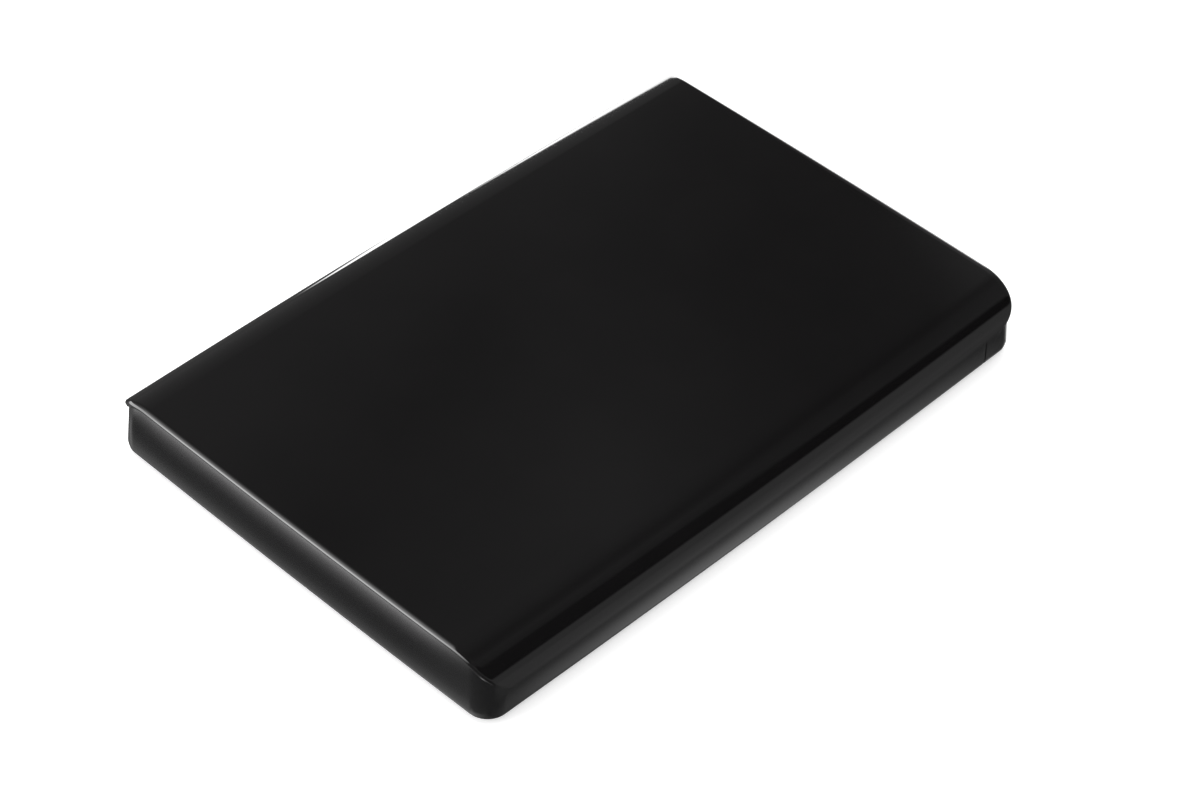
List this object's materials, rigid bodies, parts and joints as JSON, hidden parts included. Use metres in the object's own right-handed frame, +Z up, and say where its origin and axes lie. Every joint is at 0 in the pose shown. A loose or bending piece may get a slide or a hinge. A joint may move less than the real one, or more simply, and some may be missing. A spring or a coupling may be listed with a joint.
{
  "type": "portable solid state drive",
  "caption": "Flat pocket drive: glossy cover with rolled long edges on a shallow satin tray, a cable port in its end wall, and a bare drive with a connector board inside.",
  "frame": {"origin": "on the table under the middle of the case, level with the undersides of its feet", "axes": "+X along the case to the port end, +Y across it, +Z up through the cover"},
  "size_m": [0.119, 0.0826, 0.0127],
  "materials": {
    "cover": "polished black",
    "case": "fine satin black",
    "foot": "soft matt",
    "guide": "clear plastic",
    "bumper": "soft matt",
    "foam": "closed-cell foam",
    "drive_case": "satin",
    "board": "solder mask",
    "chip": "moulded",
    "pad": "soft pad",
    "connector": "moulded",
    "contact": "plated",
    "capacitor": "fired",
    "can": "plated",
    "coil": "pressed ferrite",
    "light": "clear lens"
  },
  "bodies": {
    "root": {"top_cover": "cover", "base_tray": "case", "rear_end_cap": "case", "foot_1": "foot", "foot_2": "foot", "foot_3": "foot", "foot_4": "foot", "light_guide": "guide", "bumper_1": "bumper", "bumper_2": "bumper", "bumper_3": "bumper", "bumper_4": "bumper", "foam_strip_1": "foam", "foam_strip_2": "foam", "drive_bottom_shell": "drive_case", "drive_top_shell": "drive_case", "drive_board": "board", "bridge_board": "board", "controller_chip": "chip", "buffer_chip": "chip", "flash_chip_1": "chip", "flash_chip_2": "chip", "flash_chip_3": "chip", "flash_chip_4": "chip", "bridge_chip": "chip", "thermal_pad": "pad", "drive_plug": "connector", "bridge_socket": "connector", "usb_tongues": "connector", "drive_plug_contacts": "contact", "bridge_socket_contacts": "contact", "usb_contacts": "contact", "drive_capacitors": "capacitor", "bridge_capacitors": "capacitor", "clock_crystal": "can", "usb_shell": "can", "power_inductor": "coil", "activity_led": "light"}
  },
  "joints": []
}
